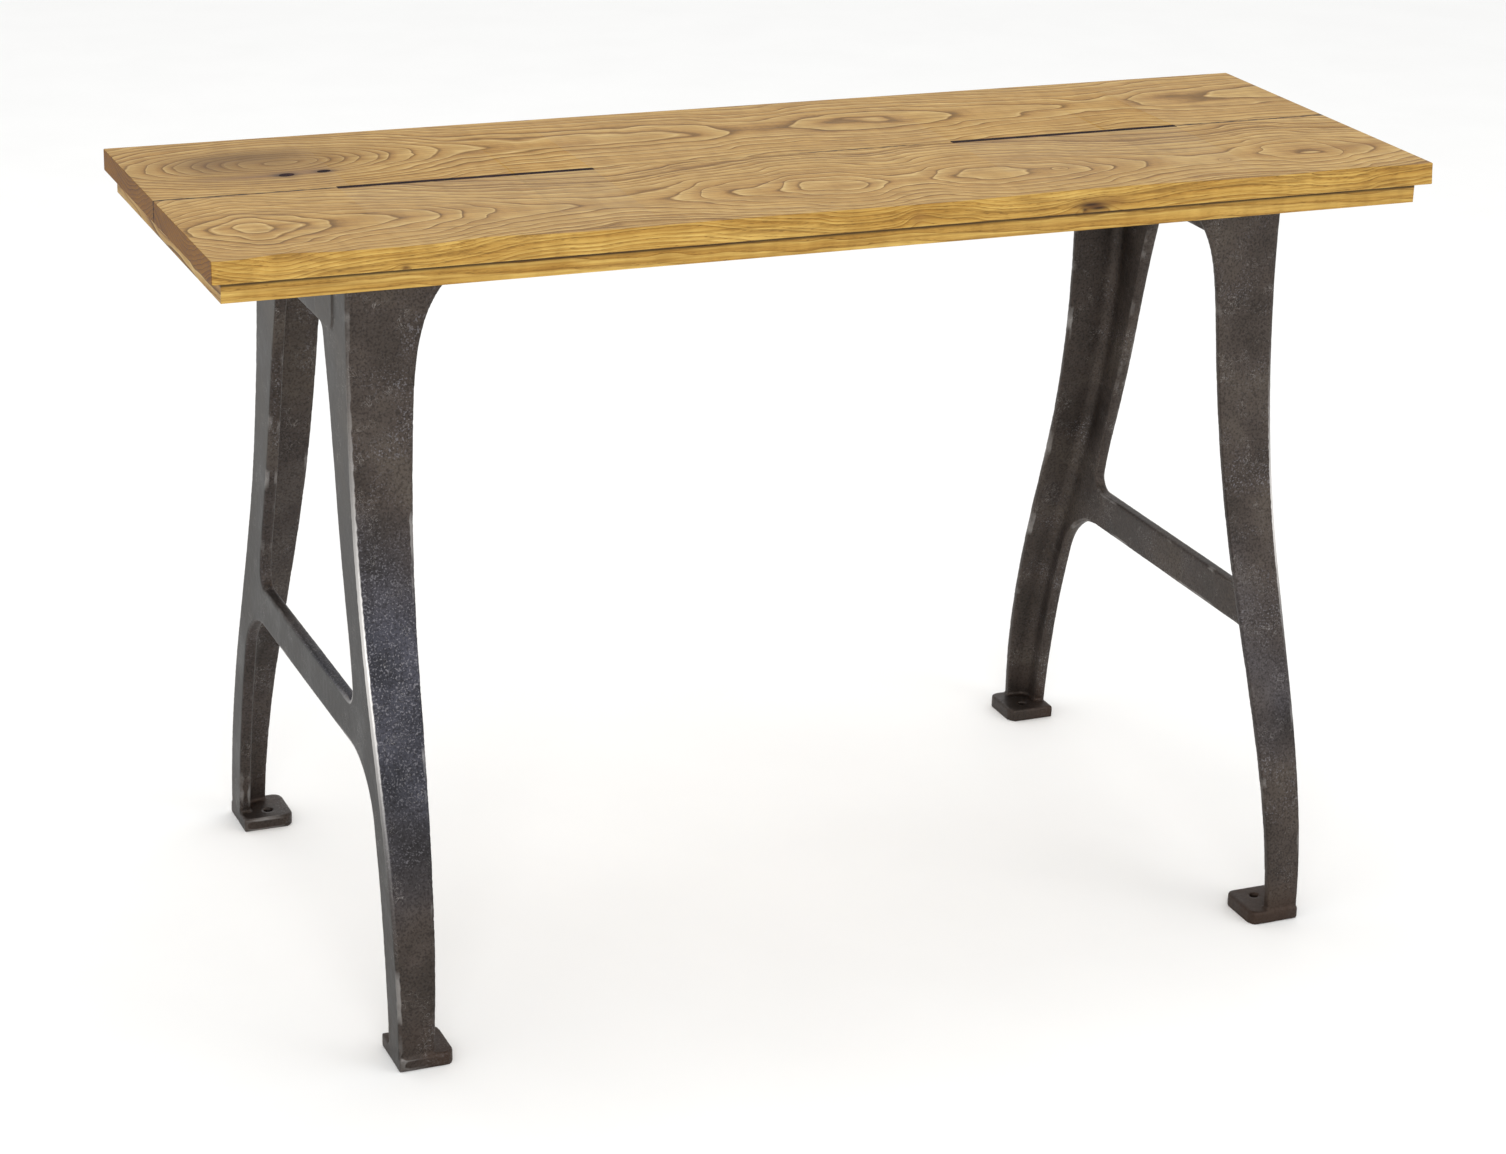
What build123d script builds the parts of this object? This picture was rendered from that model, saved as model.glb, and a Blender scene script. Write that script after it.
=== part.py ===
"""A narrow work table: a glued two-board ash top on a pair of cast-iron A-frames.

Millimetres, +X along the top, +Y to the rear, +Z up.
The origin is on the floor, midway between the four feet.
"""
from build123d import *
import os

os.makedirs("parts", exist_ok=True)

# ---------------------------------------------------------------- driving dimensions
TABLE_HEIGHT = 762.0
TOP_LENGTH = 1228.0
FRONT_BOARD_WIDTH = 208.0
REAR_BOARD_WIDTH = 199.0
BOARD_THICKNESS = 21.0
TOP_FORWARD = 7.0            # the top hangs this much further over the front feet than the rear
BOARD_CORNER = 4.0           # rounding of the top's four corners, seen from above

# Waney front edge of the top: how far the upper arris is set back, along the length.
LIVE_EDGE = [
    (-614, 1.5), (-580, 2.0), (-547, 8.0), (-512, 2.5), (-466, 1.0), (-405, 2.0), (-374, 8.0),
    (-315, 4.0), (-189, 1.5), (28, 2.0), (92, 1.5), (196, 7.0), (311, 6.0), (450, 1.5),
    (545, 5.0), (588, 1.0), (614, 2.0),
]

RAIL_THICKNESS = 21.0
RAIL_WIDTH = 55.0
RAIL_INSET_END = 11.0
RAIL_INSET_FRONT = 14.0
RAIL_INSET_REAR = 5.0

FRAME_X = 479.5              # outboard face of each casting
WEB = 12.0                   # thickness of the A-shaped plate
FLANGE_ROOT = 12.0           # the flange tapers like any moulded wall
FLANGE_TIP = 5.0
ROOT_FILLET = 12.0           # inside corner between web and flange
WEB_ARRIS = 2.5              # soft edges of the plate, as cast
FLANGE_ARRIS = 1.8           # soft free edge of the flange

# Half-widths of the casting at given heights, from the top down.
OUTER_LEG = [(154, 720), (158.5, 570), (190, 405), (244, 255), (283, 135), (299.5, 0)]
INNER_LEG_ABOVE = [(74, 656), (101, 560), (119, 480), (140, 403), (155.5, 350), (162, 311.5)]
INNER_LEG_BELOW = [(206, 271), (235, 182), (255, 93), (266, 0)]
# Reach of the flange inwards from the outboard face, at given heights.
FLANGE_REACH = [
    (34, 0), (40, 131), (48.5, 290), (54.5, 430), (61, 570), (65.5, 632), (77, 682), (104, 720),
]
UPPER_BAR_CORNER = 9.0
CROSSBAR_TOP_CORNER = 16.0
CROSSBAR_UNDER_CORNER = 76.0

LUG_REACH = 104.0
LUG_INNER_Y = 88.0
LUG_THICKNESS = 10.0
LUG_CORNER = 14.0
LEDGE_REACH = 34.0
LEDGE_THICKNESS = 8.0
BOSS_PROUD = 1.5
BOSS_Y = (58, 113)
BOSS_BOTTOM = 659.0

PAD_REACH = 53.5
PAD_Y = (245, 302)
PAD_THICKNESS = 13.5
PAD_CORNER = 10.0
FOOT_HOLE_REACH = 30.0
FOOT_HOLE_Y = 264.0
FOOT_HOLE_D = 9.0

BOLT_REACH = (35.0, 80.0)    # two bolts through each lug
BOLT_Y = 125.0
BOLT_D = 8.0
BOLT_HEAD_FLATS = 13.0
BOLT_HEAD_HEIGHT = 5.5
BOLT_HEAD_CHAMFER = 0.9
BOLT_DEPTH_IN_WOOD = 27.0
BOLT_TIP = 5.0
WASHER_D = 18.0
WASHER_THICKNESS = 1.6
LUG_HOLE_D = 9.0

SCREW_D = 4.2
SCREW_HEAD_D = 8.4
SCREW_HEAD_HEIGHT = 3.2
SCREW_LENGTH = 32.0
RECESS_SPAN = 4.6            # cross recess for the driver
RECESS_SLOT = 1.0
RECESS_DEPTH = 1.8
RAIL_SCREW_X = [-540, -324, -108, 108, 324, 540]
END_SCREW_Y = (-70, 58)
CLEAT_SCREW_Y = (-60, 60)

CLEAT_WIDTH = 112.0
CLEAT_OUTBOARD = 7.0         # the cleat starts this far outboard of the casting

DOWEL_D = 8.0
DOWEL_LENGTH = 40.0
DOWEL_X = [-500, -300, -100, 100, 300, 500]
CLEARANCE = 0.1              # all round a dowel, bolt or screw in its hole

RESIN_DEPTH = 4.5
RESIN_WIDTH = 8.0
RESIN_END = 1.4              # rounding left by the slot cutter
RESIN_SPANS = {"left": (-442, -190), "right": (187, 440)}
KNOTS = {"large": (-474, 54, 8, 5.5), "small": (-437, 58, 7, 4.5)}   # x, y and half sizes
KNOT_DEPTH = 9.0

# ---------------------------------------------------------------- derived places
TOP_WIDTH = FRONT_BOARD_WIDTH + REAR_BOARD_WIDTH
TOP_FRONT = -TOP_WIDTH / 2 - TOP_FORWARD
TOP_REAR = TOP_FRONT + TOP_WIDTH
SEAM_Y = TOP_FRONT + FRONT_BOARD_WIDTH
BOARD_BOTTOM = TABLE_HEIGHT - BOARD_THICKNESS
RAIL_BOTTOM = BOARD_BOTTOM - RAIL_THICKNESS
RAIL_X = TOP_LENGTH / 2 - RAIL_INSET_END
RAIL_FRONT = TOP_FRONT + RAIL_INSET_FRONT
RAIL_REAR = TOP_REAR - RAIL_INSET_REAR
CLEAT_X = FRAME_X + CLEAT_OUTBOARD - CLEAT_WIDTH / 2
DOWEL_Z = TABLE_HEIGHT - BOARD_THICKNESS / 2 - 1
CROSSBAR_TOP = INNER_LEG_ABOVE[-1][1]
CROSSBAR_BOTTOM = INNER_LEG_BELOW[0][1]


# ---------------------------------------------------------------- small helpers
def block(x, y, z):
    """A box given by its low and high values along each axis."""
    size = Box(x[1] - x[0], y[1] - y[0], z[1] - z[0])
    return Pos((x[0] + x[1]) / 2, (y[0] + y[1]) / 2, (z[0] + z[1]) / 2) * size


def upright(x, y, low, high, diameter):
    """A vertical round bar."""
    return Pos(x, y, (low + high) / 2) * Cylinder(diameter / 2, high - low)


def plan_rounded(x, y, z, radius, corners):
    """A box whose named plan corners, as pairs of signs, are rounded."""
    body = block(x, y, z)
    middle = body.center()
    chosen = [
        edge for edge in body.edges().filter_by(Axis.Z)
        if (edge.center().X > middle.X, edge.center().Y > middle.Y) in corners
    ]
    return fillet(chosen, radius)


def save(shape, name):
    """Write one named piece, or one group of separate pieces, to its own file."""
    shape.label = name
    export_step(shape, f"parts/{name}.step")


# ---------------------------------------------------------------- fasteners
def bolt_places(side):
    return [(side * (FRAME_X - reach), y) for reach in BOLT_REACH for y in (-BOLT_Y, BOLT_Y)]


def lag_bolt(x, y):
    """Hex-headed wood bolt, driven upwards through a lug and its washer."""
    seat = RAIL_BOTTOM - LUG_THICKNESS - WASHER_THICKNESS
    tip = RAIL_BOTTOM + BOLT_DEPTH_IN_WOOD
    head_radius = BOLT_HEAD_FLATS / 2
    head = extrude(RegularPolygon(head_radius, 6, major_radius=False), BOLT_HEAD_HEIGHT)
    turned = Pos(0, 0, BOLT_HEAD_HEIGHT / 2) * Cylinder(head_radius + 0.8, BOLT_HEAD_HEIGHT)
    turned = chamfer(turned.edges().sort_by(Axis.Z)[0], BOLT_HEAD_CHAMFER, 2 * BOLT_HEAD_CHAMFER)
    head = Pos(x, y, seat - BOLT_HEAD_HEIGHT) * (head & turned)
    shank = upright(x, y, seat, tip - BOLT_TIP, BOLT_D)
    point = Pos(x, y, tip - BOLT_TIP / 2) * Cone(BOLT_D / 2, 1.0, BOLT_TIP)
    return head + shank + point


def washer(x, y):
    top = RAIL_BOTTOM - LUG_THICKNESS
    ring = upright(x, y, top - WASHER_THICKNESS, top, WASHER_D)
    return ring - upright(x, y, top - 5, top + 5, BOLT_D + 2 * CLEARANCE + 0.4)


def rail_screw_places():
    long_rails = [
        (x, y) for x in RAIL_SCREW_X
        for y in (RAIL_FRONT + RAIL_WIDTH / 2, RAIL_REAR - RAIL_WIDTH / 2)
    ]
    end_x = RAIL_X - RAIL_WIDTH / 2
    return long_rails + [(side * end_x, y) for side in (-1, 1) for y in END_SCREW_Y]


def cleat_screw_places():
    return [(side * CLEAT_X, y) for side in (-1, 1) for y in CLEAT_SCREW_Y]


def wood_screw(x, y, gap=0.0):
    """Countersunk screw, flush with the underside; gap makes the hole that it sits in."""
    low = RAIL_BOTTOM
    head = Cone(SCREW_HEAD_D / 2 + gap, SCREW_D / 2 + gap, SCREW_HEAD_HEIGHT)
    head = Pos(x, y, low + SCREW_HEAD_HEIGHT / 2) * head
    shank = upright(x, y, low + SCREW_HEAD_HEIGHT, low + SCREW_LENGTH + gap, SCREW_D + 2 * gap)
    return head + shank


def driven_screw(x, y):
    """The screw itself, with a cross recess in its head."""
    screw = wood_screw(x, y)
    for turn in (45, 135):
        slot = Rot(0, 0, turn) * Box(RECESS_SPAN, RECESS_SLOT, 2 * RECESS_DEPTH)
        screw = screw - Pos(x, y, RAIL_BOTTOM) * slot
    return screw


def screw_holes():
    return [wood_screw(x, y, CLEARANCE) for x, y in rail_screw_places() + cleat_screw_places()]


def bolt_holes():
    top = RAIL_BOTTOM + BOLT_DEPTH_IN_WOOD + CLEARANCE
    low = RAIL_BOTTOM - 1
    diameter = BOLT_D + 2 * CLEARANCE
    return [upright(x, y, low, top, diameter) for side in (-1, 1) for x, y in bolt_places(side)]


# ---------------------------------------------------------------- seam and fillings
def dowel(x, gap=0.0):
    bar = Cylinder(DOWEL_D / 2 + gap, DOWEL_LENGTH + 2 * gap)
    return Pos(x, SEAM_Y, DOWEL_Z) * Rot(90, 0, 0) * bar


def resin_strip(span):
    """A bar of hardened resin in a slot cut along the glue line, flush with the top."""
    low, high = span
    half = RESIN_WIDTH / 2
    z = (TABLE_HEIGHT - RESIN_DEPTH, TABLE_HEIGHT)
    bar = block((low, high), (SEAM_Y - half, SEAM_Y + half), z)
    return fillet(bar.edges().filter_by(Axis.Z), RESIN_END)


def knot_fill(x, y, half_x, half_y):
    """A tapered plug of resin in the hole that a loose knot left."""
    hole = Pos(x, y, TABLE_HEIGHT - KNOT_DEPTH) * Rot(0, 0, 18) * Ellipse(half_x, half_y)
    return extrude(hole, KNOT_DEPTH, dir=(0, 0, 1))


# ---------------------------------------------------------------- wooden top
def front_board():
    """The front board, whose upper front arris follows the waney edge of the tree."""
    half = TOP_LENGTH / 2
    low = Polyline(
        (-half, TOP_FRONT, BOARD_BOTTOM), (half, TOP_FRONT, BOARD_BOTTOM),
        (half, SEAM_Y, BOARD_BOTTOM), (-half, SEAM_Y, BOARD_BOTTOM), close=True,
    )
    edge = Spline(*[(x, TOP_FRONT + setback, TABLE_HEIGHT) for x, setback in LIVE_EDGE])
    rest = Polyline(edge @ 1, (half, SEAM_Y, TABLE_HEIGHT), (-half, SEAM_Y, TABLE_HEIGHT), edge @ 0)
    sections = [make_face(low), make_face([edge, rest])]
    return loft(sections, ruled=True)


def rear_board():
    half = TOP_LENGTH / 2
    return plan_rounded(
        (-half, half), (SEAM_Y, TOP_REAR), (BOARD_BOTTOM, TABLE_HEIGHT),
        BOARD_CORNER, {(False, True), (True, True)},
    )


def drilled_board(board, fillings):
    cutters = [dowel(x, CLEARANCE) for x in DOWEL_X] + bolt_holes() + screw_holes() + fillings
    return board - cutters


# ---------------------------------------------------------------- under-frame
def prism(points, low, high):
    outline = Polyline(*[(x, y, low) for x, y in points], close=True)
    return extrude(make_face(outline), high - low, dir=(0, 0, 1))


def mitred_rails():
    """Four rails under the top, mitred at the corners."""
    x = RAIL_X
    front, rear = RAIL_FRONT, RAIL_REAR
    inner_x = x - RAIL_WIDTH
    inner_front, inner_rear = front + RAIL_WIDTH, rear - RAIL_WIDTH
    outlines = {
        "rail_front": [(-x, front), (x, front), (inner_x, inner_front), (-inner_x, inner_front)],
        "rail_rear": [(-inner_x, inner_rear), (inner_x, inner_rear), (x, rear), (-x, rear)],
        "rail_left": [(-x, front), (-inner_x, inner_front), (-inner_x, inner_rear), (-x, rear)],
        "rail_right": [(x, front), (x, rear), (inner_x, inner_rear), (inner_x, inner_front)],
    }
    return {name: prism(points, RAIL_BOTTOM, BOARD_BOTTOM) for name, points in outlines.items()}


def cleat(side):
    """Cross piece between the long rails that takes the leg bolts."""
    return block(
        (side * CLEAT_X - CLEAT_WIDTH / 2, side * CLEAT_X + CLEAT_WIDTH / 2),
        (RAIL_FRONT + RAIL_WIDTH, RAIL_REAR - RAIL_WIDTH),
        (RAIL_BOTTOM, BOARD_BOTTOM),
    )


# ---------------------------------------------------------------- cast-iron A-frame
# The casting is drawn with its outboard face on x = 0 and its inside towards +X.
def curve(points, side):
    return Spline(*[(0, side * y, z) for y, z in points])


def bounded(left, right):
    """The area between two curves that both run downwards, closed by straight lines."""
    return make_face([left, Line(left @ 1, right @ 1), right, Line(right @ 0, left @ 0)])


def plate(points, thickness):
    face = bounded(curve(points, -1), curve(points, 1))
    return extrude(face, thickness, dir=(1, 0, 0))


def within(edge, x=None, y=None, z=None):
    """True when an edge's box lies inside the given low and high values."""
    box = edge.bounding_box()
    spans = ((x, box.min.X, box.max.X), (y, box.min.Y, box.max.Y), (z, box.min.Z, box.max.Z))
    slack = 0.1
    return all(
        limits is None or (limits[0] - slack <= low and high <= limits[1] + slack)
        for limits, low, high in spans
    )


def a_shaped_web():
    body = plate(OUTER_LEG, WEB)
    window = plate(INNER_LEG_ABOVE, WEB)
    corners = window.edges().filter_by(Axis.X).sort_by(Axis.Z)
    window = fillet(corners[:2], CROSSBAR_TOP_CORNER)
    corners = window.edges().filter_by(Axis.X).sort_by(Axis.Z)
    window = fillet(corners[-2:], UPPER_BAR_CORNER)
    gap = plate(INNER_LEG_BELOW, WEB)
    corners = gap.edges().filter_by(Axis.X).sort_by(Axis.Z)
    gap = fillet(corners[-2:], CROSSBAR_UNDER_CORNER)
    return body - window - gap


def flange_strip(side, reach, thickness):
    outer = Pos(reach, 0, 0) * curve(OUTER_LEG, side)
    inner = Pos(reach, 0, 0) * curve([(y - thickness, z) for y, z in OUTER_LEG], side)
    return bounded(outer, inner)


def tapered_flange(side):
    """The wide outer wall of a leg, thinner at its free edge and flared at its top."""
    strips = [flange_strip(side, 0, FLANGE_ROOT), flange_strip(side, LUG_REACH, FLANGE_TIP)]
    wall = loft(strips, ruled=True)
    free_edge = Spline(*[(reach, 0, z) for reach, z in FLANGE_REACH])
    top = RAIL_BOTTOM
    rest = Polyline(free_edge @ 1, (0, 0, top), (0, 0, 0), free_edge @ 0)
    reach_area = make_face([free_edge, rest])
    half_spread = PAD_Y[1] + 10
    return wall & extrude(reach_area, half_spread, dir=(0, 1, 0), both=True)


def soften(body):
    """Rounds the casting's root corner and its long edges."""
    long_edge = 600
    seams = [edge for edge in body.edges() if within(edge, x=(WEB, WEB)) and edge.length > long_edge]
    root = sorted(seams, key=lambda edge: abs(edge.center().Y))[:2]
    body = fillet(root, ROOT_FILLET)
    outer = [edge for edge in body.edges() if within(edge, x=(0, 0)) and edge.length > long_edge]
    body = fillet(outer, WEB_ARRIS)
    crossbar = (CROSSBAR_BOTTOM, CROSSBAR_TOP)
    openings = [
        edge for edge in body.edges()
        if (within(edge, x=(0, 0)) or within(edge, x=(WEB, WEB)))
        and (
            within(edge, y=(-165, 165), z=(crossbar[1], INNER_LEG_ABOVE[0][1]))
            or within(edge, y=(-INNER_LEG_BELOW[-1][0], INNER_LEG_BELOW[-1][0]), z=(0, crossbar[0]))
        )
    ]
    body = fillet(openings, WEB_ARRIS)
    tips = [
        edge for edge in body.edges()
        if edge.length > long_edge and within(edge, x=(FLANGE_REACH[0][0], LUG_REACH))
    ]
    return fillet(tips, FLANGE_ARRIS)


def lug(side):
    y = sorted((side * LUG_INNER_Y, side * OUTER_LEG[0][0]))
    z = (RAIL_BOTTOM - LUG_THICKNESS, RAIL_BOTTOM)
    return plan_rounded((0, LUG_REACH), y, z, LUG_CORNER, {(True, side < 0)})


def foot_pad(side):
    y = sorted((side * PAD_Y[0], side * PAD_Y[1]))
    pad = plan_rounded((0, PAD_REACH), y, (0, PAD_THICKNESS), PAD_CORNER, {(True, False), (True, True)})
    return fillet(pad.faces().sort_by(Axis.Z)[-1].edges(), 2.0)


def outboard_boss(side):
    y = sorted((side * BOSS_Y[0], side * BOSS_Y[1]))
    boss = block((-BOSS_PROUD, 1), y, (BOSS_BOTTOM, RAIL_BOTTOM))
    lower = boss.edges().filter_by(Axis.X).sort_by(Axis.Z)[:2]
    return fillet(lower, 12)


def casting():
    body = a_shaped_web()
    for side in (-1, 1):
        body = body + tapered_flange(side)
    body = soften(body)
    for side in (-1, 1):
        body = body + lug(side) + foot_pad(side) + outboard_boss(side)
        body = body - upright(FOOT_HOLE_REACH, side * FOOT_HOLE_Y, -1, PAD_THICKNESS + 1, FOOT_HOLE_D)
        for reach in BOLT_REACH:
            low, high = RAIL_BOTTOM - LUG_THICKNESS - 1, RAIL_BOTTOM + 1
            body = body - upright(reach, side * BOLT_Y, low, high, LUG_HOLE_D)
    ledge_y = LUG_INNER_Y + 5
    ledge = block((0, LEDGE_REACH), (-ledge_y, ledge_y), (RAIL_BOTTOM - LEDGE_THICKNESS, RAIL_BOTTOM))
    return body + ledge


def placed_casting(shape, side):
    if side < 0:
        return Pos(-FRAME_X, 0, 0) * shape
    return Pos(FRAME_X, 0, 0) * mirror(shape, about=Plane.YZ)


# ---------------------------------------------------------------- write every piece
def main():
    resin = {name: resin_strip(span) for name, span in RESIN_SPANS.items()}
    knots = {name: knot_fill(*place) for name, place in KNOTS.items()}
    save(drilled_board(front_board(), list(resin.values())), "top_board_front")
    save(drilled_board(rear_board(), list(resin.values()) + list(knots.values())), "top_board_rear")
    for name, shape in resin.items():
        save(shape, f"seam_resin_{name}")
    for name, shape in knots.items():
        save(shape, f"knot_fill_{name}")
    save(Compound(children=[dowel(x) for x in DOWEL_X]), "seam_dowels")

    for name, rail in mitred_rails().items():
        save(rail - screw_holes(), name)
    for name, side in (("left", -1), ("right", 1)):
        save(cleat(side) - (screw_holes() + bolt_holes()), f"cleat_{name}")
    save(Compound(children=[driven_screw(x, y) for x, y in rail_screw_places()]), "rail_screws")
    save(Compound(children=[driven_screw(x, y) for x, y in cleat_screw_places()]), "cleat_screws")

    iron = casting()
    for name, side in (("left", -1), ("right", 1)):
        save(placed_casting(iron, side), f"leg_frame_{name}")
        places = bolt_places(side)
        save(Compound(children=[lag_bolt(x, y) for x, y in places]), f"leg_bolts_{name}")
        save(Compound(children=[washer(x, y) for x, y in places]), f"leg_washers_{name}")


main()
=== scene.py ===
# %% [markdown]
# # A two-board ash work table on cast-iron A-frames
# A glued ash top with one waney edge rests on four rails and two cleats, and two castings carry it.
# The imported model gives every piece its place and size, so nothing here is fitted by eye.
# This script gives the pieces their surfaces: eased wood, dark resin, sand-cast iron and plated steel.

# %% Load the fixed frame
import math

import bmesh
import bpy
import numpy as np
from mathutils import Matrix, Vector, noise


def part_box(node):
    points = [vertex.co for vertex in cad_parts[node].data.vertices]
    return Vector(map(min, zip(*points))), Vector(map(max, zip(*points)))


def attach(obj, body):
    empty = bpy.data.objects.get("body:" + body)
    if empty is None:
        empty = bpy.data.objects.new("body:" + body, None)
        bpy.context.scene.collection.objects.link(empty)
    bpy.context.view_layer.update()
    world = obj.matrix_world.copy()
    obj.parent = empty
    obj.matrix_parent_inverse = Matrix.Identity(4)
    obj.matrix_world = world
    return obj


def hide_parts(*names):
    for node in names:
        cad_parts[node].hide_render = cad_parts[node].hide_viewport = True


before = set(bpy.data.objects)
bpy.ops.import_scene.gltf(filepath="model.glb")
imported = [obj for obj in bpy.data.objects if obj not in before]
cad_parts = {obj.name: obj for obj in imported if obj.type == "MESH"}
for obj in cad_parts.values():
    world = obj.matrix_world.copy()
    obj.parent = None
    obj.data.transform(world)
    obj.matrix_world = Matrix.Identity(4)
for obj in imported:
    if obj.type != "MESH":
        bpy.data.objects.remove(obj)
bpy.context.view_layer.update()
MM = 0.001

# %% [markdown]
# ## The camera and the room
# The table stands a little to the right of the lens and below it, seen from in front of its left end.
# A longish lens keeps the legs nearly upright, and the camera leans by two degrees.
# The room is a pale floor that runs out of sight, so the table reads against one plain tone.

# %% Camera
CAMERA_PLACE = Vector((-1.3147, -3.0089, 1.5916))
CAMERA_YAW = math.radians(23.44)      # turned right of straight ahead
CAMERA_PITCH = math.radians(21.14)    # looking down
CAMERA_ROLL = math.radians(1.90)
CAMERA_LENS = 82.86                   # mm, on a 36 mm wide sensor


def set_camera():
    camera = bpy.data.objects.new("camera", bpy.data.cameras.new("camera"))
    turn = Matrix.Rotation(-CAMERA_YAW, 4, "Z")
    tip = Matrix.Rotation(math.pi / 2 - CAMERA_PITCH, 4, "X")
    lean = Matrix.Rotation(CAMERA_ROLL, 4, "Z")
    camera.matrix_world = Matrix.Translation(CAMERA_PLACE) @ turn @ tip @ lean
    camera.data.lens = CAMERA_LENS
    camera.data.sensor_width = 36
    bpy.context.scene.collection.objects.link(camera)
    bpy.context.scene.camera = camera
    return camera


print("camera at", [round(c, 3) for c in set_camera().location])

# %% [markdown]
# ## Two helpers for every material
# Paint charts give sRGB hex values, and shaders work in linear light, so one function turns one into
# the other. The second adds a shader node with its settings and links, so a material reads as a recipe.
# Blender names a node's settings in small letters and its sockets with a capital, and so does the helper.

# %% Colour and node helpers


def tone(hex_value):
    """A linear RGBA colour from an sRGB hex value such as "#C3A070"."""
    parts = [int(hex_value[i:i + 2], 16) / 255 for i in (1, 3, 5)]
    return tuple(c / 12.92 if c <= 0.04045 else ((c + 0.055) / 1.055) ** 2.4 for c in parts) + (1.0,)


def add(tree, kind, *feeds, stops=(), **named):
    """A new node. feeds go to its sockets in order; a small-letter name is a setting and a capital a socket.
    A node, a socket or a value may feed a socket, and stops are a colour ramp's places and hex tones."""
    node = tree.nodes.new("ShaderNode" + kind)
    for name, value in named.items():
        if name[0].islower():
            setattr(node, name, value)
    open_sockets = [s for s in node.inputs if s.enabled]
    pairs = list(zip(open_sockets, feeds))
    for name, value in named.items():
        if name[0].isupper():
            pairs.append((next(s for s in open_sockets if s.name == name.replace("_", " ")), value))
    for socket, value in pairs:
        if hasattr(value, "outputs"):
            value = next(s for s in value.outputs if s.enabled)
        if isinstance(value, bpy.types.NodeSocket):
            tree.links.new(value, socket)
        else:
            socket.default_value = tone(value) if isinstance(value, str) else value
    while stops and len(node.color_ramp.elements) < len(stops):
        node.color_ramp.elements.new(0.5)
    for element, (where, hex_value) in zip(node.color_ramp.elements if stops else (), stops):
        element.position = where
        element.color = tone(hex_value)
    return node


def new_material(name):
    """An empty material, its tree, its Principled shader and the place on the object in millimetres."""
    material = bpy.data.materials.new(name)
    material.use_nodes = True
    tree = material.node_tree
    corners = add(tree, "TexCoord")
    place = add(tree, "VectorMath", corners.outputs["Object"], 1 / MM, operation="SCALE")
    return material, tree, tree.nodes["Principled BSDF"], place


def feed(tree, value, shader, socket):
    """Links a node's first output to one of the shader's sockets."""
    tree.links.new(next(s for s in value.outputs if s.enabled), shader.inputs[socket])


print("ash tone in linear light:", [round(c, 3) for c in tone("#C3A070")[:3]])

# %% Floor and light


FLOOR_REACH = 30.0            # metres from the table to the floor's edges
LAMP_AIM = Vector((0, 0, 0.55))


def make_floor():
    corners = [(x * FLOOR_REACH, y * FLOOR_REACH, 0) for x, y in ((-1, -1), (1, -1), (1, 1), (-1, 1))]
    mesh = bpy.data.meshes.new("floor")
    mesh.from_pydata(corners, [], [(0, 1, 2, 3)])
    floor = bpy.data.objects.new("floor", mesh)
    bpy.context.scene.collection.objects.link(floor)
    material, tree, shader, place = new_material("pale_painted_floor")
    mottle = add(tree, "TexNoise", place, Scale=1 / 180, Detail=3.0)
    paint = add(tree, "ValToRGB", mottle, stops=[(0.0, "#F6F6F5"), (1.0, "#FBFBFA")])
    feed(tree, paint, shader, "Base Color")
    shader.inputs["Roughness"].default_value = 0.95
    mesh.materials.append(material)


def soft_box(name, place, size, watts):
    lamp = bpy.data.lights.new(name, "AREA")
    lamp.shape = "RECTANGLE"
    lamp.size, lamp.size_y = size
    lamp.energy = watts
    box = bpy.data.objects.new(name, lamp)
    box.location = place
    box.rotation_euler = (LAMP_AIM - Vector(place)).to_track_quat("-Z", "Y").to_euler()
    bpy.context.scene.collection.objects.link(box)


def light_the_room():
    world = bpy.data.worlds.new("studio")
    world.use_nodes = True
    world.node_tree.nodes["Background"].inputs["Color"].default_value = tone("#FFFFFF")
    world.node_tree.nodes["Background"].inputs["Strength"].default_value = 0.95
    bpy.context.scene.world = world
    soft_box("key_soft_box", (-1.3, -3.7, 2.3), (2.4, 2.0), 60)
    soft_box("fill_soft_box", (2.9, -3.0, 1.9), (2.0, 2.0), 24)
    soft_box("top_soft_box", (0.2, 1.2, 3.4), (3.0, 1.6), 18)
    bpy.context.scene.view_settings.view_transform = "Standard"


make_floor()
light_the_room()

# %% [markdown]
# ## Ash, planed and oiled
# Ash is a ring-porous wood. Each year starts with a band of coarse brown pores and ends in smooth pale wood.
# A board sawn off-centre cuts those rings at a low angle, so its face shows nested loops and points
# where the trunk wandered, and close straight lines beside them.
# The pattern is solid: one ring number is worked out for every point of the board, in millimetres,
# so the face, the edges and the end grain all agree. A curve, given along the board, says how the
# rings rise and fall there, and the distance from the board's heart line adds the rest.

# %% Ring maps of the boards
# Each pair is a place along the board, in mm, and the ring that surfaces there on the heart line.
REAR_BOARD_RINGS = [
    (-614, 2.3), (-600, 1.8), (-560, 0.9), (-473, 0.2), (-400, 0.4), (-350, 1.0), (-317, 2.0), (-283, 3.0),
    (-250, 3.3), (-150, 3.5), (-46, 4.0), (27, 5.05), (97, 4.0), (140, 3.8), (182, 4.0), (253, 5.0),
    (366, 6.0), (400, 6.4), (437, 6.0), (495, 5.0), (560, 4.6), (614, 4.4),
]
FRONT_BOARD_RINGS = [
    (-614, 5.2), (-594, 4.0), (-569, 3.0), (-552, 2.5), (-535, 3.0), (-500, 4.0), (-471, 5.0), (-412, 6.0),
    (-379, 7.0), (-354, 8.0), (-321, 9.0), (-250, 10.0), (-210, 10.4), (-169, 10.0), (-133, 9.0), (-108, 8.0),
    (-50, 7.0), (5, 5.6), (60, 7.0), (85, 7.4), (107, 7.0), (132, 6.0), (178, 5.6), (222, 6.0),
    (300, 7.8), (347, 9.0), (400, 9.5), (464, 8.9), (514, 7.8), (555, 9.0), (614, 10.4),
]
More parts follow.
